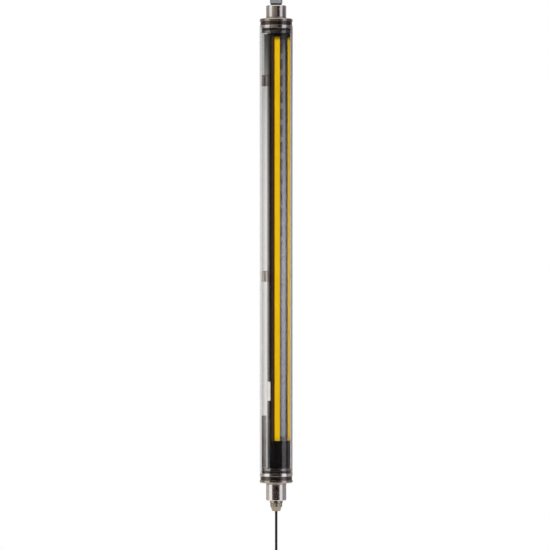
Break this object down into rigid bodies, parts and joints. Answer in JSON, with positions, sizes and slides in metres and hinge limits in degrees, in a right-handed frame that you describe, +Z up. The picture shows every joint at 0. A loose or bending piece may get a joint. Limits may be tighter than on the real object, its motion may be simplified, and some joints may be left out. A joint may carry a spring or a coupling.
{
  "type": "safety light curtain",
  "caption": "Slim black and yellow light curtain sealed in a clear tube with turned steel end caps, a vent plug on top and a cable out of a gland below.",
  "frame": {"origin": "on the tube's axis at half the tube's length, which is the middle of the clamping seat", "axes": "+Z up along the tube to the vent plug, -Y towards the protected field (the window side), +X to the right seen from the front"},
  "size_m": [0.062, 0.06, 1.1565],
  "materials": {
    "clear_tube": "clear extruded acrylic, polished",
    "turned_steel": "turned stainless steel, polished rings",
    "washer_steel": "satin stainless washer with bonded rubber",
    "satin_steel": "satin nickel-plated gland",
    "black_rubber": "black rubber",
    "grey_vent": "grey moulded plastic",
    "membrane": "porous white membrane",
    "black_anodised": "black anodised extrusion",
    "yellow_strip": "signal yellow, satin",
    "smoked_window": "tinted acrylic window",
    "lens_plastic": "moulded clear lenses",
    "black_plastic": "black moulded plastic",
    "board_green": "circuit board",
    "diode": "dark infrared diode body",
    "zinc_screw": "plain steel screw",
    "adapter_alloy": "machined aluminium",
    "plain_label": "bare light label",
    "dark_label": "bare dark label",
    "cable_jacket": "black cable jacket",
    "tie_nylon": "black nylon tie",
    "core_wire": "insulated cores",
    "tinned": "tinned ferrules"
  },
  "bodies": {
    "root": {"protective_tube": "clear_tube", "upper_cap": "turned_steel", "lower_cap": "turned_steel", "upper_cap_oring": "black_rubber", "lower_cap_oring": "black_rubber", "upper_boss_washer": "washer_steel", "lower_boss_washer": "washer_steel", "upper_boss": "turned_steel", "lower_boss": "turned_steel", "vent_plug": "grey_vent", "vent_membrane": "membrane", "vent_seal_ring": "black_rubber", "gland_washer": "black_rubber", "gland_body": "satin_steel", "gland_nut": "satin_steel", "gland_seal_insert": "black_rubber", "profile_housing": "black_anodised", "left_yellow_strip": "yellow_strip", "right_yellow_strip": "yellow_strip", "front_window": "smoked_window", "lens_strip": "lens_plastic", "optics_carrier": "black_plastic", "circuit_board": "board_green", "beam_diodes": "diode", "board_connector": "black_plastic", "upper_block_gasket": "black_rubber", "lower_block_gasket": "black_rubber", "upper_end_block": "black_plastic", "lower_end_block": "black_plastic", "upper_adapter": "adapter_alloy", "lower_adapter": "adapter_alloy", "upper_block_screws": "zinc_screw", "lower_block_screws": "zinc_screw", "upper_spacer_clip": "black_plastic", "lower_spacer_clip": "black_plastic", "side_label": "plain_label", "rating_label": "dark_label", "cable_inner_run": "cable_jacket", "cable": "cable_jacket", "cable_coil": "cable_jacket", "cable_ties": "tie_nylon", "lead_cores": "core_wire", "core_ferrules": "tinned"}
  },
  "joints": []
}
